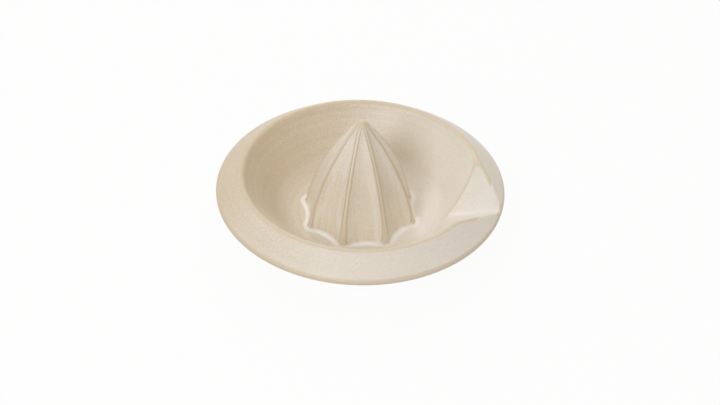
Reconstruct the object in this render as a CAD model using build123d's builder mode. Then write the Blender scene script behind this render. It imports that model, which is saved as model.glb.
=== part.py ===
from build123d import *
import os
from math import asin, atan2, cos, degrees, hypot, pi, radians, sin, sqrt, tan

# Citrus reamer in glazed stoneware: a dish with a folded rim and a pressed spout, and a
# fluted cone in its middle. The clay pieces are joined with slip while they are
# leather-hard, and then glazed and fired as one.
# Z points up. The origin is on the table, under the middle of the dish. The spout
# points along +X.

# The dish: its floor, wall and rim are one thrown sheet of clay of even thickness.
dish_diameter = 160.0
dish_wall = 5.2
rim_edge_height = 26.0
crest_corner_diameter = 131.5
crest_corner_height = 38.4
crest_round = 3.0
well_wall_angle = 52.2
well_corner_round = 17.0
fold_round = 2.8
outer_corner_round = 10.0

# The spout: a V pressed into the rim, with its valley falling back into the well.
spout_lip_height = 27.2
spout_valley_angle = 18.2
spout_side_angle = 30.6
spout_valley_round = 4.0
spout_edge_round = 1.6
spout_web_angle = 24.0

# The cone: its ribs are flat lands left between cut flutes, and it is hollow.
cone_height = 62.5
cone_base_diameter = 63.5
cone_base_lean = 9.9
cone_tip_round = 4.2
cone_wall = 4.0
cone_tip_thickness = 7.0
cone_hollow_round = 3.0
rib_count = 8
rib_turn = -2.5
rib_land_at_foot = 2.8
rib_land_at_tip = 2.1
rib_arris_round = 0.4
flute_sag_share = 0.102
flute_end_width = 2.4
flute_section_count = 8
dome_inset = 0.05

# The coil of soft clay that seals the cone's foot to the floor.
coil_width = 2.6
coil_edge = 0.3
coil_section_count = 4

# The foot ring under the floor.
foot_ring_diameter = 74.0
foot_ring_width = 5.5
foot_ring_height = 4.0
foot_ring_round = 1.2

# How far a cutting shape runs past what it cuts.
overrun = 2.0

# Where the dish's lines meet, as (distance from the axis, height).
dish_radius = dish_diameter / 2
floor_bottom = foot_ring_height
floor_top = floor_bottom + dish_wall
edge_round = dish_wall / 2
crest_r = crest_corner_diameter / 2
edge_r = dish_radius - edge_round
crest_to_edge = hypot(edge_r - crest_r, crest_corner_height - rim_edge_height)
rim_angle = degrees(
    atan2(crest_corner_height - rim_edge_height, edge_r - crest_r)
    - asin(edge_round / crest_to_edge)
)
well_corner_r = crest_r - (crest_corner_height - floor_top) / tan(radians(well_wall_angle))


def along(start, angle, distance):
    """The point at a distance from a start point, at an angle above the horizontal."""
    turn = radians(angle)
    return (start[0] + distance * cos(turn), start[1] + distance * sin(turn))


well_corner = (well_corner_r, floor_top)
crest_corner = (crest_r, crest_corner_height)
edge_centre = (edge_r, rim_edge_height)
edge_top = along(edge_centre, 90 - rim_angle, edge_round)
edge_side = along(edge_centre, -rim_angle, edge_round)
edge_bottom = along(edge_centre, -90 - rim_angle, edge_round)

# The underside runs at one wall thickness from the top, so its corners lie on the lines
# that halve the corners above them.
crest_half_angle = (180 - well_wall_angle - rim_angle) / 2
fold_corner = along(
    crest_corner,
    -rim_angle - crest_half_angle,
    dish_wall / sin(radians(crest_half_angle)),
)
crest_middle = along(
    crest_corner,
    -rim_angle - crest_half_angle,
    dish_wall / 2 / sin(radians(crest_half_angle)),
)
outer_corner = (
    well_corner_r + dish_wall * tan(radians(well_wall_angle / 2)),
    floor_bottom,
)

# The cone's outline: an arc from its foot, tangent to the small round of its tip.
cone_base_r = cone_base_diameter / 2


def ogive(base_radius, height, lean, tip_round):
    """An arc's radius and centre, and the angle at which it meets the round tip."""
    rise = height - tip_round
    turn = radians(lean)
    arc = (base_radius ** 2 + rise ** 2 - tip_round ** 2) / (
        2 * (cos(turn) * base_radius - sin(turn) * rise - tip_round)
    )
    centre = (base_radius - arc * cos(turn), floor_top - arc * sin(turn))
    tip_angle = degrees(atan2(floor_top + rise - centre[1], -centre[0]))
    return arc, centre, tip_angle


def ogive_points(base_radius, height, lean, tip_round):
    """The foot, middle and end of the arc, then the middle and top of the round tip."""
    arc, centre, tip_angle = ogive(base_radius, height, lean, tip_round)
    tip_centre = (0, floor_top + height - tip_round)
    return (
        along(centre, lean, arc),
        along(centre, (lean + tip_angle) / 2, arc),
        along(centre, tip_angle, arc),
        along(tip_centre, (tip_angle + 90) / 2, tip_round),
        (0, floor_top + height),
    )


rib_arc, rib_centre, rib_top_angle = ogive(
    cone_base_r, cone_height, cone_base_lean, cone_tip_round
)


def rib_radius(height):
    """Distance from the axis to the ribs' lands."""
    return rib_centre[0] + sqrt(rib_arc ** 2 - (height - rib_centre[1]) ** 2)


def flute_circle(height):
    """Distance of a flute's centre from the axis, and the flute's radius."""
    land_share = (height - floor_top) / cone_height
    land = rib_land_at_foot + (rib_land_at_tip - rib_land_at_foot) * land_share
    lands = rib_radius(height)
    half_angle = pi / rib_count - asin(land / 2 / lands)
    half_width = lands * sin(half_angle)
    sag = 2 * half_width * flute_sag_share
    radius = (half_width ** 2 + sag ** 2) / (2 * sag)
    return lands * cos(half_angle) - sag + radius, radius


# The flutes run out where the lands have closed to leave only this much between them.
flute_end_r = (rib_land_at_tip + flute_end_width) / 2 / sin(pi / rib_count)
flute_end_angle = degrees(atan2(
    sqrt(rib_arc ** 2 - (flute_end_r - rib_centre[0]) ** 2), flute_end_r - rib_centre[0]
))
rib_foot_angle = degrees(asin((floor_top - rib_centre[1]) / rib_arc))
flute_turn = flute_end_angle - rib_foot_angle
flute_azimuth = rib_turn + 180 / rib_count

foot_flute_centre, foot_flute_radius = flute_circle(floor_top)
hollow_r = foot_flute_centre - foot_flute_radius - cone_wall


# The spout's V stands square to its valley, which starts at the rim's outer edge.
valley_turn = radians(spout_valley_angle)
spout_plane = Plane(
    origin=(dish_radius, 0, spout_lip_height),
    x_dir=(0, 1, 0),
    z_dir=(cos(valley_turn), 0, sin(valley_turn)),
)
spout_rise = crest_corner_height - floor_top + overrun
spout_half_width = spout_rise / tan(radians(spout_side_angle))
spout_length = (dish_radius - well_corner_r) / cos(valley_turn)
spout_skin_drop = dish_wall / cos(radians(spout_side_angle))
web_low_point = along(edge_centre, spout_web_angle - 90, edge_round)
web_inner_end = along(
    web_low_point,
    180 + spout_web_angle,
    (web_low_point[0] - well_corner_r) / cos(radians(spout_web_angle)),
)

# The dish is turned from a profile on the side away from the spout.
turning_plane = Plane(origin=(0, 0, 0), x_dir=(-1, 0, 0), z_dir=(0, 1, 0))

# The clay behind the spout: a web under the rim, as thick as the rest of the dish.
with BuildPart() as spout_web:
    with BuildSketch(turning_plane):
        with BuildLine():
            Polyline(edge_centre, web_low_point, web_inner_end, crest_middle, close=True)
        make_face()
    revolve(axis=Axis.Z)
    with BuildSketch(spout_plane):
        with BuildLine():
            FilletPolyline(
                (-spout_half_width, spout_rise - spout_skin_drop),
                (0, -spout_skin_drop),
                (spout_half_width, spout_rise - spout_skin_drop),
                radius=spout_valley_round + dish_wall,
            )
            Polyline(
                (spout_half_width, spout_rise - spout_skin_drop),
                (spout_half_width, spout_rise),
                (-spout_half_width, spout_rise),
                (-spout_half_width, spout_rise - spout_skin_drop),
            )
        make_face()
    extrude(amount=spout_length, both=True, mode=Mode.INTERSECT)

with BuildPart() as dish:
    with BuildSketch(turning_plane):
        with BuildLine():
            FilletPolyline(
                (hollow_r, floor_top),
                well_corner,
                crest_corner,
                edge_top,
                radius=[well_corner_round, crest_round],
            )
            ThreePointArc(edge_top, edge_side, edge_bottom)
            FilletPolyline(
                edge_bottom,
                fold_corner,
                outer_corner,
                (hollow_r, floor_bottom),
                radius=[fold_round, outer_corner_round],
            )
            Line((hollow_r, floor_bottom), (hollow_r, floor_top))
        make_face()
    revolve(axis=Axis.Z)
    add(spout_web.part)
    with BuildSketch(spout_plane):
        with BuildLine():
            FilletPolyline(
                (-spout_half_width, spout_rise),
                (0, 0),
                (spout_half_width, spout_rise),
                radius=spout_valley_round,
            )
            Line((spout_half_width, spout_rise), (-spout_half_width, spout_rise))
        make_face()
    extrude(amount=spout_length, both=True, mode=Mode.SUBTRACT)
    spout_sides = dish.faces(Select.LAST).filter_by(GeomType.PLANE)
    fillet(spout_sides.edges().filter_by(GeomType.LINE, reverse=True), spout_edge_round)
dish.part.label = "dish"


def flute_plane(height):
    """A level plane with its X axis in the middle of a flute."""
    return Plane.XY.offset(height).rotated((0, 0, flute_azimuth))


# The cone's outside, as it leaves the mould. Each level is a circle with a flute cut in
# between every two ribs, and with the ribs' arrises rounded. The plain dome above the
# flutes starts a hair inside the lands.
rib_foot, rib_middle, rib_top, tip_side, tip_top = ogive_points(
    cone_base_r, cone_height, cone_base_lean, cone_tip_round
)
dome_foot = along(rib_centre, flute_end_angle, rib_arc - dome_inset)
dome_middle = along(rib_centre, (flute_end_angle + rib_top_angle) / 2, rib_arc - dome_inset / 2)
with BuildPart() as fluted_form:
    for section in range(flute_section_count):
        turn = rib_foot_angle + flute_turn * section / (flute_section_count - 1)
        height = along(rib_centre, turn, rib_arc)[1]
        centre_distance, flute_radius = flute_circle(height)
        with BuildSketch(flute_plane(height)) as level:
            Circle(rib_radius(height))
            with PolarLocations(centre_distance, rib_count):
                Circle(flute_radius, mode=Mode.SUBTRACT)
            fillet(level.vertices(), rib_arris_round)
    loft()
    with BuildSketch(Plane.XZ):
        with BuildLine():
            ThreePointArc(dome_foot, dome_middle, rib_top)
            ThreePointArc(rib_top, tip_side, tip_top)
            Polyline(tip_top, (0, dome_foot[1]), dome_foot)
        make_face()
    revolve(axis=Axis.Z)

# The hollow keeps the clay about one wall thick.
hollow_foot, hollow_middle, hollow_top, hollow_side, hollow_tip = ogive_points(
    hollow_r, cone_height - cone_tip_thickness, cone_base_lean, cone_hollow_round
)
with BuildPart() as reamer_cone:
    add(fluted_form.part)
    with BuildSketch(Plane.XZ):
        with BuildLine():
            ThreePointArc(hollow_foot, hollow_middle, hollow_top)
            ThreePointArc(hollow_top, hollow_side, hollow_tip)
            Polyline(hollow_tip, (0, floor_top), hollow_foot)
        make_face()
    revolve(axis=Axis.Z, mode=Mode.SUBTRACT)
reamer_cone.part.label = "reamer_cone"

# The coil follows the ribs and flutes, and its face is a hollow quarter round. Being soft,
# it takes the shape of the cone and of the well under it.
with BuildPart() as luting_coil:
    for section in range(coil_section_count):
        turn = pi / 2 * section / (coil_section_count - 1)
        height = floor_top + coil_width * (1 - cos(turn))
        reach = coil_edge + (coil_width - coil_edge) * (1 - sin(turn))
        centre_distance, flute_radius = flute_circle(height)
        with BuildSketch(flute_plane(height)):
            Circle(rib_radius(height) + reach)
            with PolarLocations(centre_distance, rib_count):
                Circle(flute_radius - reach, mode=Mode.SUBTRACT)
    loft()
    add(fluted_form.part, mode=Mode.SUBTRACT)
    add(dish.part, mode=Mode.SUBTRACT)
luting_coil.part.label = "luting_coil"

with BuildPart() as foot_ring:
    with BuildSketch(Plane.XY):
        Circle(foot_ring_diameter / 2)
        Circle(foot_ring_diameter / 2 - foot_ring_width, mode=Mode.SUBTRACT)
    extrude(amount=foot_ring_height)
    fillet(foot_ring.edges().group_by(Axis.Z)[0], foot_ring_round)
foot_ring.part.label = "foot_ring"

os.makedirs("parts", exist_ok=True)
for piece in (dish, reamer_cone, luting_coil, foot_ring):
    export_step(piece.part, f"parts/{piece.part.label}.step")
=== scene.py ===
from math import asin, atan2, ceil, cos, degrees, hypot, pi, radians, sin, tan

import bpy
import numpy as np
from mathutils import Matrix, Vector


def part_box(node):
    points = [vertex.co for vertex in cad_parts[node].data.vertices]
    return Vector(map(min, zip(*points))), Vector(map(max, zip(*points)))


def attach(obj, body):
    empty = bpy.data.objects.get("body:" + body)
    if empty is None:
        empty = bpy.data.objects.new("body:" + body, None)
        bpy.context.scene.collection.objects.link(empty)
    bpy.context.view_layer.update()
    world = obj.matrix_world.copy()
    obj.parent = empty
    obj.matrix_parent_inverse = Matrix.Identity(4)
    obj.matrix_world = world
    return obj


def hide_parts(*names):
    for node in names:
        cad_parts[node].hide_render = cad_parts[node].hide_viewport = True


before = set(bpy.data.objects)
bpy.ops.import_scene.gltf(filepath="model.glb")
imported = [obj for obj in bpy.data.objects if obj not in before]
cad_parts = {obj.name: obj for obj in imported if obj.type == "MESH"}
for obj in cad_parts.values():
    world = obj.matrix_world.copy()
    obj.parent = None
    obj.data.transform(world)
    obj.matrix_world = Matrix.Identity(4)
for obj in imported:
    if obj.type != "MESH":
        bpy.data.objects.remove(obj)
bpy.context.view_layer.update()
mm = 0.001


# The dish: thrown stoneware, its floor, wall and folded rim one sheet of clay 5.2 mm thick.
# The V spout is pressed into the rim while the clay is soft, and the clay behind it is
# smoothed into a web. Cream glaze covers it all, thin and honey brown on every edge.
dish_low, dish_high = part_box("dish")
dish_radius = dish_high.y
dish_wall = 5.2 * mm
foot_ring_height = dish_low.z
floor_top = foot_ring_height + dish_wall
rim_edge_height = 26 * mm
crest_corner = (65.75 * mm, 38.4 * mm)
crest_round = 3 * mm
well_wall_angle = 52.2
well_corner_round = 17 * mm
fold_round = 2.8 * mm
outer_corner_round = 10 * mm
floor_opening = 23.6 * mm
dish_step = 0.75 * mm
round_step_share = 0.2
touching = 0.001 * mm


def along(start, angle, distance):
    """The point at a distance from a start point, at an angle above the horizontal."""
    turn = radians(angle)
    return (start[0] + distance * cos(turn), start[1] + distance * sin(turn))


def rounded_outline(corners, step):
    """Closed outline through (radius, height, round) corners, as points about a step apart."""
    arcs = []
    count = len(corners)
    for k in range(count):
        corner = np.array(corners[k][:2])
        back = np.array(corners[k - 1][:2]) - corner
        ahead = np.array(corners[(k + 1) % count][:2]) - corner
        back = back / np.linalg.norm(back)
        ahead = ahead / np.linalg.norm(ahead)
        half = np.arccos(np.clip(back @ ahead, -1, 1)) / 2
        rounding = corners[k][2]
        if rounding == 0:
            arcs.append([corner])
            continue
        middle = back + ahead
        centre = corner + middle / np.linalg.norm(middle) * rounding / np.sin(half)
        first = corner + back * rounding / np.tan(half) - centre
        last = corner + ahead * rounding / np.tan(half) - centre
        sweep = pi - 2 * half
        steps = ceil(sweep * rounding / min(step, rounding * round_step_share))
        arcs.append([
            centre + (first * np.sin((1 - s) * sweep) + last * np.sin(s * sweep)) / np.sin(sweep)
            for s in np.arange(steps + 1) / steps
        ])
    points = []
    for k in range(count):
        points.extend(arcs[k])
        start = arcs[k][-1]
        gap = arcs[(k + 1) % count][0] - start
        steps = ceil(np.linalg.norm(gap) / step)
        points.extend(start + gap * s / steps for s in range(1, steps))
    return points


def turn_on_wheel(name, points, stretches, closed=True):
    """Draws an outline point by point and spins it round the wheel's axis.

    stretches lists (sweep in degrees, steps). The first lies evenly about the spout's side."""
    start = -radians(stretches[0][0]) / 2
    bpy.ops.object.select_all(action="DESELECT")
    bpy.ops.mesh.primitive_plane_add(size=mm)
    piece = bpy.context.object
    piece.name = name
    piece.data.name = name
    bpy.ops.object.mode_set(mode="EDIT")
    bpy.ops.mesh.select_all(action="SELECT")
    bpy.ops.mesh.merge(type="CENTER")
    place = points[0]
    bpy.ops.transform.translate(value=(place[0] * cos(start), place[0] * sin(start), place[1]))
    for point in points[1:]:
        out = point[0] - place[0]
        up = point[1] - place[1]
        bpy.ops.mesh.extrude_region_move(
            TRANSFORM_OT_translate={"value": (out * cos(start), out * sin(start), up)}
        )
        place = point
    bpy.ops.mesh.select_all(action="DESELECT")
    if closed:
        bpy.ops.object.mode_set(mode="OBJECT")
        piece.data.vertices[0].select = True
        piece.data.vertices[len(points) - 1].select = True
        bpy.ops.object.mode_set(mode="EDIT")
        bpy.ops.mesh.edge_face_add()
    bpy.ops.mesh.select_all(action="SELECT")
    for sweep, steps in stretches:
        bpy.ops.mesh.spin(steps=steps, angle=radians(sweep), center=(0, 0, 0), axis=(0, 0, 1))
    bpy.ops.mesh.select_all(action="SELECT")
    bpy.ops.mesh.remove_doubles(threshold=touching)
    bpy.ops.mesh.normals_make_consistent(inside=False)
    bpy.ops.object.mode_set(mode="OBJECT")
    return piece


edge_round = dish_wall / 2
edge_corner_round = edge_round * 0.999
edge_centre = (dish_radius - edge_round, rim_edge_height)
rim_run = edge_centre[0] - crest_corner[0]
rim_fall = crest_corner[1] - rim_edge_height
rim_angle = degrees(atan2(rim_fall, rim_run) - asin(edge_round / hypot(rim_run, rim_fall)))
well_wall_run = (crest_corner[1] - floor_top) / tan(radians(well_wall_angle))
well_corner = (crest_corner[0] - well_wall_run, floor_top)
crest_half_angle = (180 - well_wall_angle - rim_angle) / 2
crest_inwards = -rim_angle - crest_half_angle
crest_depth = dish_wall / sin(radians(crest_half_angle))
fold_corner = along(crest_corner, crest_inwards, crest_depth)
corner_shift = dish_wall * tan(radians(well_wall_angle / 2))
outer_corner = (well_corner[0] + corner_shift, foot_ring_height)
edge_end = along(edge_centre, -rim_angle, edge_round)
edge_top_corner = along(edge_end, 90 - rim_angle, edge_round)
edge_bottom_corner = along(edge_end, -90 - rim_angle, edge_round)

spout_sweep = 64
spout_steps = 150
plain_steps = 230
dish = turn_on_wheel(
    "glazed_dish",
    rounded_outline(
        [
            (floor_opening, floor_top, 0),
            (*well_corner, well_corner_round),
            (*crest_corner, crest_round),
            (*edge_top_corner, edge_corner_round),
            (*edge_bottom_corner, edge_corner_round),
            (*fold_corner, fold_round),
            (*outer_corner, outer_corner_round),
            (floor_opening, foot_ring_height, 0),
        ],
        dish_step,
    ),
    [(spout_sweep, spout_steps), (360 - spout_sweep, plain_steps)],
)

# The press of the spout: a V of two flat sides with a round valley, falling into the well.
# Its edge is softer inside the crest on the camera's side, where the clay was dragged.
spout_lip_height = 27.2 * mm
spout_valley_angle = 18.2
spout_side_angle = 30.6
spout_valley_round = 4 * mm
spout_web_angle = 24
spout_edge_blend = 1.1 * mm
soft_edge_blend = 3 * mm
soft_edge_start = crest_corner[0] + 1 * mm
soft_edge_reach = 7 * mm
soft_edge_side = 4 * mm
press_edge_width = 1.8 * mm
web_blend = 3 * mm
web_blend_reach = 8 * mm
nearly_nothing = 1e-9
no_limit = 1


def soft_min(a, b, blend):
    """The lower of two heights, with the crease between them rounded over the blend."""
    near = np.maximum(blend - np.abs(a - b), 0) / np.maximum(blend, nearly_nothing)
    return np.minimum(a, b) - near ** 2 * blend / 4


def places(piece):
    """The piece's vertices as rows of x, y, z."""
    flat = np.zeros(len(piece.data.vertices) * 3)
    piece.data.vertices.foreach_get("co", flat)
    return flat.reshape(-1, 3)


def set_places(piece, rows):
    """Moves the piece's vertices to rows of x, y, z."""
    piece.data.vertices.foreach_set("co", rows.ravel())
    piece.data.update()


spots = places(dish)
reach = np.hypot(spots[:, 0], spots[:, 1])
sheet_middle = [
    (0, floor_top - dish_wall / 2),
    (well_corner[0] + corner_shift / 2, floor_top - dish_wall / 2),
    along(crest_corner, crest_inwards, crest_depth / 2),
    edge_centre,
    along(edge_centre, -rim_angle, 2 * edge_round),
]
on_top = spots[:, 2] > np.interp(reach, *zip(*sheet_middle)) + touching
side = abs(spots[:, 1])
side_angle = radians(spout_side_angle)
valley_angle = radians(spout_valley_angle)
round_half = spout_valley_round * sin(side_angle)
round_rise = spout_valley_round * (1 / cos(side_angle) - 1)
round_fall = np.sqrt(np.maximum(spout_valley_round ** 2 - side ** 2, 0))
valley = np.where(
    side < round_half,
    spout_valley_round - round_fall + round_rise,
    side * tan(side_angle),
) / cos(valley_angle)
pressed = spout_lip_height - (dish_radius - spots[:, 0]) * tan(valley_angle) + valley
pressed = np.where(spots[:, 0] > 0, pressed, no_limit)
web_low_point = along(edge_centre, spout_web_angle - 90, edge_round)
web_line = web_low_point[1] + (reach - web_low_point[0]) * tan(radians(spout_web_angle))
skin = dish_wall / cos(side_angle)
web = -soft_min(skin - pressed, -web_line, web_blend)
blend = web_blend * np.clip((web_low_point[0] - reach) / web_blend_reach, 0, 1)
under = np.where(reach < web_low_point[0], soft_min(spots[:, 2], web, blend), spots[:, 2])
softness = np.clip((soft_edge_start - reach) / soft_edge_reach, 0, 1)
softness = softness * np.clip(-spots[:, 1] / soft_edge_side, 0, 1)
press_edge = np.clip(1 - np.abs(spots[:, 2] - pressed) / press_edge_width, 0, 1) * on_top
press_edge = press_edge * (1 - softness)
edge_blend = spout_edge_blend + soft_edge_blend * softness
spots[:, 2] = np.where(on_top, soft_min(spots[:, 2], pressed, edge_blend), under)
set_places(dish, spots)
bpy.ops.object.shade_smooth()


def mark(piece, name, values):
    """Keeps one value per vertex on the piece, for its finish to read."""
    layer = piece.data.attributes.new(name, "FLOAT", "POINT")
    layer.data.foreach_set("value", values.astype(np.float32))


def glaze_flow(piece, soak_rounds, share=1):
    """Marks where the glaze runs thin, over edges, and where it pools, in hollows.

    Each vertex takes a share of the mean curvature of the surface there, per millimetre,
    spread over its neighbours as many times as soak_rounds says."""
    data = piece.data
    spots = places(piece)
    flat = np.zeros(len(data.edges) * 2, int)
    data.edges.foreach_get("vertices", flat)
    one, two = flat.reshape(-1, 2).T
    flat = np.zeros(len(data.vertices) * 3, np.float32)
    data.vertex_normals.foreach_get("vector", flat)
    normals = flat.reshape(-1, 3).astype(float)
    step = spots[two] - spots[one]
    length = np.maximum((step ** 2).sum(1), touching ** 2)
    count = np.bincount(one, minlength=len(spots)) + np.bincount(two, minlength=len(spots))
    fall_one = -2 * (normals[one] * step).sum(1) / length * mm
    fall_two = 2 * (normals[two] * step).sum(1) / length * mm
    bend = np.bincount(one, fall_one, len(spots)) + np.bincount(two, fall_two, len(spots))
    bend = bend / np.maximum(count, 1)
    for _ in range(soak_rounds):
        spread = np.bincount(one, bend[two], len(spots)) + np.bincount(two, bend[one], len(spots))
        bend = (bend + spread / np.maximum(count, 1)) / 2
    mark(piece, "bend", bend * share)


# The rim's slope keeps its full glaze until just before its outer edge. The lower half of the edge
# itself is darkened towards the bare clay: a little wear, and painted shade where the edge turns down
# away from the light.
rim_slope_start = crest_corner[0] + 6 * mm
rim_thin_reach = 2.2 * mm
rim_thin_step = 1.2 * mm
rim_worn_and_shaded_reach = 1.1 * mm
rim_worn_and_shaded_top = rim_edge_height + 0.8 * mm
rim_worn_and_shaded_step = 1 * mm
rim_worn_and_shaded_share = 0.22
edge_run = np.clip((reach - dish_radius + rim_thin_reach) / rim_thin_step, 0, 1)
edge_run = np.where(on_top & (reach > rim_slope_start), edge_run, 1)
edge_wear_and_shade = np.clip((reach - dish_radius + rim_worn_and_shaded_reach) / rim_worn_and_shaded_step, 0, 1)
edge_wear_and_shade = edge_wear_and_shade * np.clip((rim_worn_and_shaded_top - spots[:, 2]) / rim_worn_and_shaded_step, 0, 1)
glaze_flow(dish, 4, edge_run)
mark(dish, "press", press_edge)
# The worn mark on the dish holds both this wear and the painted shade of the rim's edge.
mark(dish, "worn", edge_wear_and_shade * rim_worn_and_shaded_share)


def new_node(tree, kind, inputs=None, **settings):
    """Adds a shader node with its settings, and its inputs as values or links."""
    node = tree.nodes.new(kind)
    for key, value in settings.items():
        setattr(node, key, value)
    for key, value in (inputs or {}).items():
        if isinstance(value, bpy.types.NodeSocket):
            tree.links.new(value, node.inputs[key])
        else:
            node.inputs[key].default_value = value
    return node


def maths(tree, operation, first, *others):
    """The result of one sum on a value, or of the same sum on several in turn."""
    for other in others or (0,):
        node = new_node(tree, "ShaderNodeMath", {0: first, 1: other}, operation=operation)
        first = node.outputs[0]
    return first


def vector(tree, operation, first, second=(0, 0, 0)):
    """The result of one sum on places or directions."""
    node = new_node(tree, "ShaderNodeVectorMath", {0: first, 1: second}, operation=operation)
    return node.outputs["Value" if operation in ("LENGTH", "DOT_PRODUCT") else "Vector"]


def level(tree, value, over, to=(0, 1), way="SMOOTHSTEP"):
    """A value that goes from one end of to to the other while the given one goes over over.

    It is eased at both ends, or straight where way is LINEAR."""
    node = new_node(
        tree,
        "ShaderNodeMapRange",
        {"Value": value, "From Min": over[0], "From Max": over[1], "To Min": to[0], "To Max": to[1]},
        interpolation_type=way,
    )
    return node.outputs["Result"]


def mix(tree, share, first, second):
    """A blend of two colours."""
    node = new_node(tree, "ShaderNodeMix", {0: share, 6: first, 7: second}, data_type="RGBA")
    return node.outputs[2]


def object_place(tree):
    """The place on the object, from the middle of its foot."""
    return new_node(tree, "ShaderNodeTexCoord").outputs["Object"]


def marked(tree, name):
    """The value that is marked on the piece under a name."""
    return new_node(tree, "ShaderNodeAttribute", attribute_name=name).outputs["Fac"]


def noise(tree, place, scale, detail, roughness=0.5):
    """Soft random blotches, from 0 to 1."""
    inputs = {"Vector": place, "Scale": scale, "Detail": detail, "Roughness": roughness}
    return new_node(tree, "ShaderNodeTexNoise", inputs).outputs["Fac"]


def shade(red, green, blue):
    """A colour read off in screen values, from 0 to 255, as the linear one that shaders take."""
    def linear(value):
        value = value / 255
        return value / 12.92 if value <= 0.04045 else ((value + 0.055) / 1.055) ** 2.4
    return (linear(red), linear(green), linear(blue), 1)


def make_glaze_group():
    """The cream glaze: its colour, gloss and skin, from the bend of the clay under it.

    Its tone is 0 for the plain body, below 0 towards honey and above 0 towards the pools."""
    group = bpy.data.node_groups.new("cream glaze", "ShaderNodeTree")
    sockets = [(name, "INPUT", "NodeSocketFloat") for name in ("Bend", "Wet", "Worn", "Streak")]
    sockets += [(name, "INPUT", "NodeSocketColor") for name in ("Body", "Honey", "Pool", "Bare")]
    sockets += [("Color", "OUTPUT", "NodeSocketColor")]
    sockets += [(name, "OUTPUT", "NodeSocketFloat") for name in ("Roughness", "Height")]
    for name, way, kind in sockets:
        group.interface.new_socket(name=name, in_out=way, socket_type=kind)
    given = group.nodes.new("NodeGroupInput").outputs
    place = object_place(group)
    mottle = noise(group, place, scale=260, detail=4, roughness=0.6)
    grain = noise(group, place, scale=1100, detail=3, roughness=0.7)
    cloud = noise(group, place, scale=30, detail=3)
    mottle_off = maths(group, "SUBTRACT", mottle, 0.5)
    grain_off = maths(group, "SUBTRACT", grain, 0.5)
    cloud_off = maths(group, "SUBTRACT", cloud, 0.5)
    ragged = maths(group, "MULTIPLY", mottle_off, 0.04)
    bend = maths(group, "ADD", given["Bend"], ragged)
    thin = level(group, bend, (0.085, 0.17), (0, 0.62))
    pool = level(group, maths(group, "MULTIPLY", bend, -1), (0.03, 0.1))
    pool = maths(group, "MAXIMUM", pool, given["Wet"])
    tone = maths(
        group,
        "ADD",
        maths(group, "MULTIPLY", mottle_off, 0.14),
        maths(group, "MULTIPLY", grain_off, 1.4),
        maths(group, "MULTIPLY", cloud_off, 0.5),
        given["Streak"],
        # This slope across the dish is painted light: paler towards the spout's side as painted sheen,
        # more honey on the far side as painted shade.
        vector(group, "DOT_PRODUCT", place, (12, -2.6, 0)),
    )
    base = mix(group, level(group, tone, (0, 0.95), (0, 1), "LINEAR"), given["Body"], given["Pool"])
    base = mix(group, level(group, tone, (-0.85, 0), (0.86, 0), "LINEAR"), base, given["Honey"])
    freckle = level(group, grain_off, (-0.3, 0.05), (0.4, 0), "LINEAR")
    base = mix(group, freckle, base, given["Honey"])
    thin_glaze = shade(218, 200, 167)
    base = mix(group, thin, base, thin_glaze)
    base = mix(group, pool, base, given["Pool"])
    base = mix(group, given["Worn"], base, given["Bare"])
    cells = new_node(group, "ShaderNodeTexVoronoi", {"Vector": place, "Scale": 75, "Randomness": 1})
    dot = level(group, cells.outputs["Distance"], (0.02, 0.045), (1, 0))
    draw = new_node(group, "ShaderNodeSeparateColor", {"Color": cells.outputs["Color"]})
    few = level(group, draw.outputs["Red"], (0.95, 0.96))
    iron_speck = shade(120, 92, 60)
    base = mix(group, maths(group, "MULTIPLY", dot, few, 0.6), base, iron_speck)
    gloss = level(group, tone, (-0.5, 0.5), (0.69, 0.61))
    gloss = maths(group, "SUBTRACT", gloss, maths(group, "MULTIPLY", given["Wet"], 0.2))
    height = maths(group, "ADD", mottle, maths(group, "MULTIPLY", grain, 0.3))
    new_node(group, "NodeGroupOutput", {"Color": base, "Roughness": gloss, "Height": height})
    return group


cream_glaze = make_glaze_group()
skin_depth = 0.12 * mm


def glaze_material(name, colours, marks, coat=(0.5, 0.35), sheen=0):
    """A glazed finish of four colours: the body, the honey edges, the pools, the bare clay.

    marks(tree) gives sockets for Streak and, where they differ from what is marked on the
    piece, Bend, Wet and Worn. coat is the weight and the roughness of the clear top of the
    glaze, and sheen lightens it where it turns away."""
    material = bpy.data.materials.new(name)
    material.use_nodes = True
    tree = material.node_tree
    tree.nodes.clear()
    inputs = marks(tree)
    for key in ("Bend", "Wet", "Worn"):
        if key not in inputs:
            inputs[key] = marked(tree, key.lower())
    inputs.update(zip(("Body", "Honey", "Pool", "Bare"), colours))
    glaze = new_node(tree, "ShaderNodeGroup", inputs, node_tree=cream_glaze)
    bump = new_node(
        tree,
        "ShaderNodeBump",
        {"Height": glaze.outputs["Height"], "Strength": 0.25, "Distance": skin_depth},
    )
    surface = new_node(
        tree,
        "ShaderNodeBsdfPrincipled",
        {
            "Base Color": glaze.outputs["Color"],
            "Roughness": glaze.outputs["Roughness"],
            "Normal": bump.outputs["Normal"],
            "Specular IOR Level": 0.48,
            "Coat Weight": coat[0],
            "Coat Roughness": coat[1],
            "Sheen Weight": sheen,
            "Sheen Roughness": 0.3,
        },
    )
    new_node(tree, "ShaderNodeOutputMaterial", {"Surface": surface.outputs["BSDF"]})
    return material


def throwing_rings(tree):
    """Faint rings round the wheel's axis, and glaze that runs thin on the edges of the press."""
    flat = vector(tree, "MULTIPLY", object_place(tree), (1, 1, 0))
    inputs = {"W": vector(tree, "LENGTH", flat), "Scale": 420, "Detail": 2}
    rings = new_node(tree, "ShaderNodeTexNoise", inputs, noise_dimensions="1D").outputs[0]
    press = maths(tree, "MULTIPLY", marked(tree, "press"), 0.12)
    return {
        "Streak": maths(tree, "MULTIPLY", maths(tree, "SUBTRACT", rings, 0.5), 0.5),
        "Bend": maths(tree, "ADD", marked(tree, "bend"), press),
    }


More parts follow.
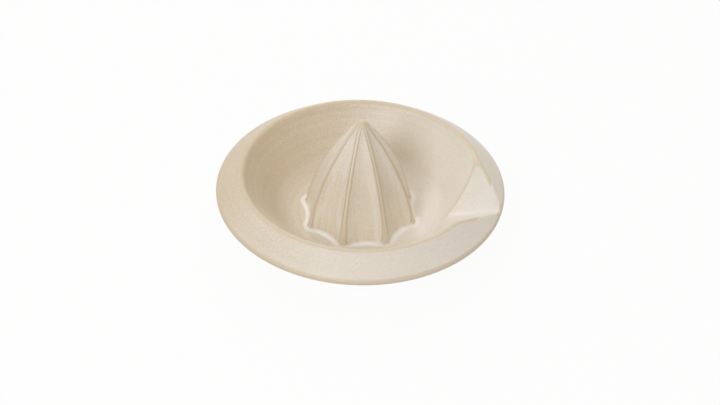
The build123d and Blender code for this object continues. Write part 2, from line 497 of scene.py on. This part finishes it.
cream_colours = (
    shade(235, 227, 212),
    shade(215, 196, 167),
    shade(241, 235, 228),
    shade(180, 158, 126),
)
dish.data.materials.append(glaze_material("dish glaze", cream_colours, throwing_rings))
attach(dish, "root")
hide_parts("dish")


# The cone: pressed in a mould and hollow inside. Eight ribs with narrow flat lands are left
# between eight flutes, and the flutes run out below the smooth dome of the tip. It is luted
# to the floor of the dish with slip before the glaze goes on.
cone_low, cone_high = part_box("reamer_cone")
cone_foot = cone_low.z
cone_height = cone_high.z - cone_low.z
cone_base_radius = 31.75 * mm
cone_base_lean = 9.9
cone_tip_round = 4.2 * mm
hollow_height = cone_height - 7 * mm
hollow_tip_round = 3 * mm
rib_count = 8
rib_sector = pi / rib_count
rib_turn = -2.5
rib_land_at_foot = 2.8 * mm
rib_land_at_tip = 1.8 * mm
widest_land_share = 0.9
flute_sag_share = 0.102
flute_fade_start = 8.2 * mm
flute_fade_end = 5.2 * mm
arris_blend = 0.5 * mm
column_count = 336
cone_step = 0.8 * mm
hollow_step = 3 * mm
hair = 0.01 * mm


def ogive(base_radius, height, lean, tip_round, step):
    """An outline from the tip down to the foot: a round tip on an arc that is tangent to it."""
    rise = height - tip_round
    turn = radians(lean)
    arc = (base_radius ** 2 + rise ** 2 - tip_round ** 2) / (
        2 * (cos(turn) * base_radius - sin(turn) * rise - tip_round)
    )
    centre = (base_radius - arc * cos(turn), cone_foot - arc * sin(turn))
    tip_angle = degrees(atan2(cone_foot + rise - centre[1], -centre[0]))
    points = []
    tip_steps = ceil((pi / 2 - radians(tip_angle)) / round_step_share * 2)
    for k in range(tip_steps):
        angle = 90 + (tip_angle - 90) * k / tip_steps
        points.append(along((0, cone_foot + rise), angle, tip_round))
    arc_steps = ceil(radians(tip_angle - lean) * arc / step)
    for k in range(arc_steps + 1):
        points.append(along(centre, tip_angle + (lean - tip_angle) * k / arc_steps, arc))
    return points


outside = ogive(cone_base_radius, cone_height, cone_base_lean, cone_tip_round, cone_step)
inside = ogive(floor_opening, hollow_height, cone_base_lean, hollow_tip_round, hollow_step)
outside_radii, outside_heights = zip(*outside[::-1])
cone = turn_on_wheel(
    "fluted_cone", outside + inside[::-1], [(360, column_count)], closed=False
)


def ease(share):
    """A share from 0 to 1 that starts and ends gently."""
    return share * share * (3 - 2 * share)


def rib_radius(height):
    """Distance from the axis to the ribs' lands at some heights, a hair or more."""
    return np.maximum(np.interp(height, outside_heights, outside_radii), hair)


def land_width(height):
    """Width of the ribs' lands, which narrow quickly above the foot."""
    share = np.clip((height - cone_foot) / cone_height, 0, 1)
    return rib_land_at_tip + (rib_land_at_foot - rib_land_at_tip) * (1 - share) ** 3


def off_rib(azimuth):
    """The angle from the middle of the nearest rib."""
    return (azimuth - radians(rib_turn) + rib_sector) % (2 * rib_sector) - rib_sector


def fluted(azimuth, height, proud=0, blend=arris_blend):
    """Distance from the axis to the fluted outside, stood proud by a constant reach."""
    lands = rib_radius(height)
    widest = sin(rib_sector) * widest_land_share
    half = rib_sector - np.arcsin(np.clip(land_width(height) / 2 / lands, 0, widest))
    fade = ease(np.clip((lands - flute_fade_end) / (flute_fade_start - flute_fade_end), 0, 1))
    half_width = lands * np.sin(half)
    sag = np.maximum(2 * half_width * flute_sag_share * fade, touching)
    bow = (half_width ** 2 + sag ** 2) / (2 * sag)
    centre = lands * np.cos(half) - sag + bow
    bow = bow - proud
    from_flute = rib_sector - np.abs(off_rib(azimuth))
    inner = bow ** 2 - (centre * np.sin(from_flute)) ** 2
    flute = centre * np.cos(from_flute) - np.sqrt(np.maximum(inner, 0))
    flute = np.where(inner > 0, flute, no_limit)
    return soft_min(lands + proud, flute, blend * np.minimum(1, lands / flute_fade_start))


# Of the mesh columns between a rib's middle and a flute's, a fifth lie on the land, and the
# next two fifths close about the arris, within its reach.
land_columns = 0.2
arris_columns = 0.62
arris_reach = 0.7 * mm
arris_reach_on_land = 0.8
arris_reach_in_flute = 0.3


def crowd_to_arris(azimuth, height):
    """Shifts evenly spaced columns round the axis so that many of them lie on the arrises."""
    off = off_rib(azimuth)
    lands = rib_radius(height)
    arris = np.minimum(np.arcsin(np.clip(land_width(height) / 2 / lands, 0, 1)), rib_sector / 2)
    widest = np.minimum(arris * arris_reach_on_land, rib_sector * arris_reach_in_flute)
    spread = np.minimum(arris_reach / lands, widest)
    step = np.abs(off) / rib_sector
    on_arris = (step - land_columns) / (arris_columns - land_columns)
    past_arris = (step - arris_columns) / (1 - arris_columns)
    moved = np.where(
        step < land_columns,
        step / land_columns * (arris - spread),
        np.where(
            step < arris_columns,
            arris - spread + on_arris * 2 * spread,
            arris + spread + past_arris * (rib_sector - arris - spread),
        ),
    )
    return azimuth - off + np.sign(off) * moved


outside_reach = 0.2 * mm
spots = places(cone)
reach = np.hypot(spots[:, 0], spots[:, 1])
azimuth = np.arctan2(spots[:, 1], spots[:, 0])
skin_outside = np.abs(reach - rib_radius(spots[:, 2])) < outside_reach
azimuth = np.where(skin_outside, crowd_to_arris(azimuth, spots[:, 2]), azimuth)
reach = np.where(skin_outside, fluted(azimuth, spots[:, 2]), reach)
spots[:, 0] = reach * np.cos(azimuth)
spots[:, 1] = reach * np.sin(azimuth)
set_places(cone, spots)
bpy.ops.object.shade_smooth()
glaze_flow(cone, 2)

# Places and widths on the ribs and flutes, in mm like the marks themselves.
far_from_rib = 9
far_from_flute = 20
foot_flare = 0.7
foot_flare_height = 14
right_run_and_sheen_place = 3
left_run_and_sheen_place = 3.5
left_run_and_sheen_share = 0.6


def mark_ribs(piece, azimuth, height, there=True):
    """Marks how far each vertex is from the nearest rib's middle, and from its arris, in mm.

    It also marks the runs of pale glaze and painted sheen, from 0 to 1: one down the right of each
    flute, and on the side away from the spout, which faces the light, a weaker one down the left."""
    off = off_rib(azimuth)
    lands = rib_radius(height)
    half_land = land_width(height) / 2
    from_middle = np.where(there, np.abs(off) * lands / mm, far_from_rib)
    mark(piece, "rib", from_middle)
    flare = foot_flare * np.clip(1 - (height - cone_foot) / (foot_flare_height * mm), 0, 1)
    mark(piece, "arris", from_middle - np.minimum(half_land, rib_sector * lands) / mm - flare)
    from_right = np.where(there, -off * lands / mm, far_from_flute) - half_land / mm
    from_left = np.where(there, off * lands / mm, far_from_flute) - half_land / mm
    # The left run is kept to the side that faces the light, as painted sheen.
    facing_left = np.clip(0.5 - np.cos(azimuth), 0, 1)
    right_run_and_sheen = np.clip(1 - np.abs(from_right - right_run_and_sheen_place) / right_run_and_sheen_place, 0, 1)
    left_run_and_sheen = np.clip(1 - np.abs(from_left - left_run_and_sheen_place) / left_run_and_sheen_place, 0, 1)
    mark(piece, "run_and_sheen", np.maximum(right_run_and_sheen, left_run_and_sheen * facing_left * left_run_and_sheen_share))


mark_ribs(cone, azimuth, spots[:, 2], skin_outside)

arris_end = cone_foot + 1.8 * mm
arris_start = cone_foot + 60.8 * mm
dome_edge = (arris_start - 3 * mm, arris_start)
bead_end = (arris_end - 0.4 * mm, arris_end + 1 * mm)
highlight_place = 1.1
thinnest_bend = 0.12


def arris_marks(tree):
    """The lines that the mould leaves on the ribs, the streaks of glaze in the flutes, and painted
    light on both.

    A rib is honey brown with a painted highlight down its core. Each of its arrises is a darker line,
    and beside it a painted highlight comes out near the foot and ends in a bead. The pale runs in the
    flutes are partly pale glaze and partly painted sheen, and the flutes turn honey towards the foot in
    painted shade.
    a pale ridge comes out near the foot and ends in a bead."""
    place = object_place(tree)
    height = new_node(tree, "ShaderNodeSeparateXYZ", {0: place}).outputs["Z"]

    def above_foot(low, high, bottom=0, top=1):
        """A value that changes between two heights above the cone's foot, in mm."""
        return level(tree, height, (cone_foot + low * mm, cone_foot + high * mm), (bottom, top))

    def from_line(sideways):
        """Distance in mm from a line down the rib that stops at arris_end."""
        squares = [maths(tree, "POWER", value, 2) for value in (sideways, below)]
        return maths(tree, "SQRT", maths(tree, "ADD", *squares))

    around = vector(tree, "NORMALIZE", vector(tree, "MULTIPLY", place, (1, 1, 0)))
    parts = new_node(tree, "ShaderNodeSeparateXYZ", {0: around}).outputs
    drawn_out = maths(tree, "MULTIPLY", height, 6)
    spot = new_node(
        tree, "ShaderNodeCombineXYZ", {"X": parts["X"], "Y": parts["Y"], "Z": drawn_out}
    )
    flow = noise(tree, spot.outputs[0], scale=13, detail=1)
    streak = maths(tree, "MULTIPLY", maths(tree, "SUBTRACT", flow, 0.5), 0.9)
    # The flutes turn honey towards the foot: painted shade in the corner above the coil.
    painted_foot_shade = level(tree, height, (cone_foot, cone_foot + cone_height * 0.3), (-0.2, 0.03))
    shoulder = above_foot(34, 50, 0, 0.22)
    dome = level(tree, height, dome_edge, (0, -0.35))
    below_dome = level(tree, height, dome_edge, (1, 0))
    to_left = vector(tree, "DOT_PRODUCT", place, (-11, 0, 0))
    middle = marked(tree, "rib")
    across = marked(tree, "arris")
    below = maths(tree, "DIVIDE", maths(tree, "SUBTRACT", arris_end, height), mm)
    below = maths(tree, "MAXIMUM", below, 0)
    apart = from_line(across)
    # Painted highlights: the core of each rib, and a line beside each arris near the foot that ends in
    # a bead.
    from_highlight = from_line(maths(tree, "ABSOLUTE", maths(tree, "SUBTRACT", middle, highlight_place)))
    near_end = level(tree, height, bead_end, (1, 0))
    highlight_bead = maths(tree, "MULTIPLY", level(tree, from_highlight, (0.3, 0.65), (0.7, 0)), near_end)
    foot_highlight = level(tree, from_highlight, (0.1, 0.6), (0.32, 0))
    foot_highlight = maths(tree, "MULTIPLY", foot_highlight, above_foot(5, 15, 1, 0))
    highlight_core = level(tree, middle, (0.15, 0.7), (0.5, 0))
    highlight_core = maths(tree, "MULTIPLY", highlight_core, above_foot(5, 22, 0.1, 1))
    line = level(tree, apart, (0.2, 0.7), (0.35, 0))
    line = maths(tree, "MULTIPLY", line, maths(tree, "SUBTRACT", 1, highlight_bead))
    line = maths(tree, "MAXIMUM", line, level(tree, across, (-0.2, 0.6), (0.05, 0)))
    # The runs are partly pale glaze and partly painted sheen from the window on the left.
    run_and_sheen = maths(
        tree,
        "MULTIPLY",
        level(tree, marked(tree, "run_and_sheen"), (0, 1)),
        level(tree, flow, (0.35, 0.65), (0.15, 0.8)),
        above_foot(4, 14, 0.4, 1),
        above_foot(34, 52, 1, 0.3),
    )
    pale = maths(tree, "MAXIMUM", highlight_core, foot_highlight, highlight_bead, run_and_sheen)
    land = maths(tree, "MULTIPLY", level(tree, across, (0, 0.8), (0.15, 0)), below_dome)
    warm = level(tree, across, (0, 0.8), (-0.5, 0))
    warm = maths(tree, "MULTIPLY", warm, above_foot(16, 40))
    bend = maths(tree, "MINIMUM", marked(tree, "bend"), thinnest_bend)
    return {
        "Streak": maths(tree, "ADD", streak, warm, to_left, painted_foot_shade, dome, shoulder),
        "Bend": maths(tree, "MAXIMUM", land, bend),
        "Wet": maths(tree, "MULTIPLY", pale, below_dome),
        "Worn": maths(tree, "MULTIPLY", line, below_dome),
    }


cone_colours = (shade(234, 224, 206), *cream_colours[1:])
cone.data.materials.append(glaze_material("cone glaze", cone_colours, arris_marks, sheen=0.8))
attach(cone, "root")
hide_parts("reamer_cone")


# The luting coil: soft clay worked into the corner between the cone and the floor, with a
# hollow face. It follows the ribs and flutes, and the glaze lies thick and pale on it, its near white
# partly a painted highlight.
coil_width = 2.6 * mm
coil_sink = 0.12 * mm
coil_lift = 0.02 * mm
coil_blend = 1.2 * mm
coil_steps = 12
coil_root_depth = 2 * mm
coil_hollow_at_rib = 0.3
coil_flute_start = 0.15
coil_flute_ease = 0.45
coil_smooth_angle = 60
coil_inner = cone_base_radius - coil_root_depth
coil_bottom = cone_foot - coil_sink
coil_face = []
for k in range(coil_steps + 1):
    turn = radians(90 * k / coil_steps)
    out = cone_base_radius + coil_width * (1 - sin(turn))
    coil_face.append((out, cone_foot + coil_width * (1 - cos(turn))))
coil_root = [(coil_inner, coil_bottom), (coil_face[0][0], coil_bottom)]
coil_back = [(coil_inner, coil_face[-1][1])]
coil = turn_on_wheel(
    "luting_coil_glazed", coil_root + coil_face + coil_back, [(360, column_count)]
)
spots = places(coil)
reach = np.hypot(spots[:, 0], spots[:, 1])
azimuth = crowd_to_arris(np.arctan2(spots[:, 1], spots[:, 0]), cone_foot)
proud = reach - cone_base_radius
rise = np.clip((spots[:, 2] - cone_foot) / coil_width, 0, 1)
in_flute = np.abs(off_rib(azimuth)) / rib_sector
in_flute = ease(np.clip((in_flute - coil_flute_start) / coil_flute_ease, 0, 1))
hollow = coil_hollow_at_rib + (1 - coil_hollow_at_rib) * in_flute
face_turn = np.arccos(1 - rise)
on_face = (proud > -hair) & (spots[:, 2] > coil_bottom + hair)
upper_face = on_face & (face_turn > 1)
proud = np.where(on_face, coil_width * (1 - np.sin(face_turn) ** hollow), proud)
face_height = cone_foot + coil_width * (1 - np.cos(face_turn) ** hollow)
spots[:, 2] = np.where(on_face, face_height, spots[:, 2])
blend = arris_blend + (coil_blend - arris_blend) * np.clip(proud / coil_width * 2, 0, 1)
follow = fluted(azimuth, spots[:, 2], np.maximum(proud, 0), blend) + np.minimum(proud, 0)
follow = follow + np.where(upper_face, coil_lift, -coil_sink * (proud < 0))
follow = np.minimum(follow, cone_base_radius + coil_width)
spots[:, 0] = follow * np.cos(azimuth)
spots[:, 1] = follow * np.sin(azimuth)
set_places(coil, spots)
bpy.ops.object.shade_smooth_by_angle(angle=radians(coil_smooth_angle))
mark_ribs(coil, azimuth, spots[:, 2])

# Thick glaze soaks the coil's hollow, less so at the ribs, and wets the floor along its foot. On the
# coil its near-white colour is partly a painted highlight.
soak_and_highlight_edge = 0.4
soak_and_highlight_at_rib = 0.75
floor_skin = 0.5 * mm
wet_reach = 0.9 * mm
wet_fall = 1.5
up_face = face_turn / (pi / 2)
soak_and_highlight = np.clip((soak_and_highlight_edge + soak_and_highlight_edge * hollow - up_face) / soak_and_highlight_edge, 0, 1)
soak_and_highlight = soak_and_highlight * (soak_and_highlight_at_rib + (1 - soak_and_highlight_at_rib) * hollow)
mark(coil, "soak_and_highlight", np.where(on_face, soak_and_highlight, 1))
floor_spots = places(dish)
floor_azimuth = np.arctan2(floor_spots[:, 1], floor_spots[:, 0])
coil_line = fluted(floor_azimuth, cone_foot, coil_width, coil_blend)
past_coil = np.hypot(floor_spots[:, 0], floor_spots[:, 1]) - coil_line
on_floor = np.abs(floor_spots[:, 2] - floor_top) < floor_skin
wet = np.clip(1 - past_coil / wet_reach, 0, 1) ** wet_fall
mark(dish, "wet", np.where(on_floor, wet, 0))


def coil_marks(tree):
    """The arrises run on down over the coil's upper edge, and thick glaze with a painted highlight lies
    in its hollow.
    """
    marks = arris_marks(tree)
    soak_and_highlight = marked(tree, "soak_and_highlight")
    marks["Wet"] = maths(tree, "MAXIMUM", marks["Wet"], maths(tree, "MULTIPLY", soak_and_highlight, 0.9))
    marks["Worn"] = maths(tree, "MULTIPLY", marks["Worn"], maths(tree, "SUBTRACT", 1, soak_and_highlight))
    return marks


# Near white: thick glaze, and a painted highlight on the glossy hollow.
thick_glaze_and_highlight = shade(250, 248, 245)
coil_colours = (cone_colours[0], cone_colours[1], thick_glaze_and_highlight, cone_colours[3])
coil.data.materials.append(glaze_material("coil glaze", coil_colours, coil_marks, coat=(1, 0.2)))
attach(coil, "root")
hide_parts("luting_coil")


# The foot ring: turned clay under the floor. Its sides are glazed, and the face that it
# stands on is wiped clean of glaze, so that it doesn't stick to the kiln shelf.
ring_low, ring_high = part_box("foot_ring")
ring_outer = ring_high.x
ring_inner = ring_outer - 5.5 * mm
ring_top = ring_high.z + coil_sink
ring_round = 1.2 * mm
ring_step = 0.6 * mm
ring_steps = 240
wiped_height = (1.0 * mm, 1.3 * mm)
wiped_wander = 0.4 * mm
ring = turn_on_wheel(
    "turned_foot_ring",
    rounded_outline(
        [
            (ring_inner, ring_top, 0),
            (ring_outer, ring_top, 0),
            (ring_outer, ring_low.z, ring_round),
            (ring_inner, ring_low.z, ring_round),
        ],
        ring_step,
    ),
    [(360, ring_steps)],
)
bpy.ops.object.shade_smooth()
glaze_flow(ring, 1)


def bare_clay_material():
    """Glaze on the ring's sides, and fine sandy fired clay on the face it stands on."""
    material = glaze_material("foot ring clay", cream_colours, throwing_rings)
    tree = material.node_tree
    place = object_place(tree)
    height = new_node(tree, "ShaderNodeSeparateXYZ", {0: place}).outputs["Z"]
    wander = maths(tree, "MULTIPLY", noise(tree, place, scale=300, detail=2), wiped_wander)
    bare = level(tree, maths(tree, "ADD", height, wander), wiped_height, (1, 0))
    sand = noise(tree, place, scale=1500, detail=4, roughness=0.7)
    clay = mix(tree, sand, shade(196, 168, 132), shade(176, 146, 110))
    surface = next(n for n in tree.nodes if n.type == "BSDF_PRINCIPLED")
    glaze = next(n for n in tree.nodes if n.type == "GROUP")
    tree.links.new(mix(tree, bare, glaze.outputs["Color"], clay), surface.inputs["Base Color"])
    rough = maths(tree, "MAXIMUM", glaze.outputs["Roughness"], maths(tree, "MULTIPLY", bare, 0.85))
    tree.links.new(rough, surface.inputs["Roughness"])
    return material


ring.data.materials.append(bare_clay_material())
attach(ring, "root")
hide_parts("foot_ring")


# The floor is plain white card. The camera sees it nearly white whatever light falls on it,
# and it keeps a faint shadow of the dish.
floor_size = 6
card_white_share = 0.95
bpy.ops.object.select_all(action="DESELECT")
bpy.ops.mesh.primitive_grid_add(x_subdivisions=4, y_subdivisions=4, size=floor_size, location=(0, 0, 0))
floor = bpy.context.object
floor.name = "studio_floor"
card = bpy.data.materials.new("white card")
card.use_nodes = True
card_tree = card.node_tree
card_tree.nodes.clear()


def seen(tree):
    """1 where the camera or a reflection sees a surface, 0 where it only lights the dish."""
    rays = new_node(tree, "ShaderNodeLightPath").outputs
    return maths(tree, "MAXIMUM", rays["Is Camera Ray"], rays["Is Glossy Ray"])


card_share = maths(card_tree, "MULTIPLY", seen(card_tree), card_white_share)
card_lit = new_node(card_tree, "ShaderNodeBsdfDiffuse", {"Color": (0.93, 0.93, 0.93, 1)})
card_white = new_node(card_tree, "ShaderNodeEmission", {"Color": (1, 1, 1, 1), "Strength": 1})
card_show = new_node(
    card_tree,
    "ShaderNodeMixShader",
    {0: card_share, 1: card_lit.outputs[0], 2: card_white.outputs[0]},
)
new_node(card_tree, "ShaderNodeOutputMaterial", {"Surface": card_show.outputs[0]})
floor.data.materials.append(card)


# The studio: a wide soft lamp high in front, a large one high behind at the left, a small
# bright one in front, a weak strip low behind, and an even pale surround.
lamp_distance = 1.4


def soft_lamp(name, azimuth, elevation, size, power, tint=(1, 1, 1)):
    """A square lamp that faces the middle of the dish.

    Its azimuth is 0 straight in front and grows towards the spout."""
    lamp = bpy.data.lights.new(name, "AREA")
    lamp.shape = "SQUARE"
    lamp.size = size
    lamp.energy = power
    lamp.color = tint
    holder = bpy.data.objects.new(name, lamp)
    bpy.context.scene.collection.objects.link(holder)
    aim = Matrix.Rotation(radians(azimuth), 4, "Z") @ Matrix.Rotation(radians(90 - elevation), 4, "X")
    holder.matrix_world = aim @ Matrix.Translation((0, 0, lamp_distance))


soft_lamp("high window", azimuth=7, elevation=59, size=2.2, power=1.55, tint=(0.99, 1, 1.02))
soft_lamp("left window", azimuth=-149.6, elevation=47.5, size=1.67, power=6.3, tint=(0.97, 1, 1.09))
soft_lamp("low lamp", azimuth=-13.5, elevation=39.6, size=0.454, power=5.4, tint=(0.95, 1, 1.13))
soft_lamp("back strip", azimuth=-158, elevation=20, size=0.3, power=1.3)

surround = bpy.data.worlds.new("pale surround")
surround.use_nodes = True
surround_tree = surround.node_tree
surround_tree.nodes.clear()
surround_light = new_node(
    surround_tree, "ShaderNodeBackground", {"Color": (1.11, 1, 0.8, 1), "Strength": 0.406}
)
surround_white = new_node(
    surround_tree, "ShaderNodeBackground", {"Color": (1, 1, 1, 1), "Strength": 1}
)
surround_mix = new_node(
    surround_tree,
    "ShaderNodeMixShader",
    {0: seen(surround_tree), 1: surround_light.outputs[0], 2: surround_white.outputs[0]},
)
new_node(surround_tree, "ShaderNodeOutputWorld", {"Surface": surround_mix.outputs[0]})
bpy.context.scene.world = surround
bpy.context.scene.view_settings.view_transform = "Standard"


# The camera stands where the photographer's did: a metre off, in front and a little to the
# spout's side, looking down into the well.
view_turn = 14.4
view_rise = 38.84
view_pitch = 39.32
view_roll = 1.34
view_distance = 1.0
view_height = 26 * mm
camera = bpy.data.cameras.new("camera")
camera.sensor_width = 36
camera.lens = 90.03
viewer = bpy.data.objects.new("camera", camera)
bpy.context.scene.collection.objects.link(viewer)
stand = Matrix.Translation((
    view_distance * sin(radians(view_turn)) * cos(radians(view_rise)),
    -view_distance * cos(radians(view_turn)) * cos(radians(view_rise)),
    view_distance * sin(radians(view_rise)) + view_height,
))
viewer.matrix_world = (
    stand
    @ Matrix.Rotation(radians(view_turn), 4, "Z")
    @ Matrix.Rotation(radians(90 - view_pitch), 4, "X")
    @ Matrix.Rotation(radians(view_roll), 4, "Z")
)
bpy.context.scene.camera = viewer
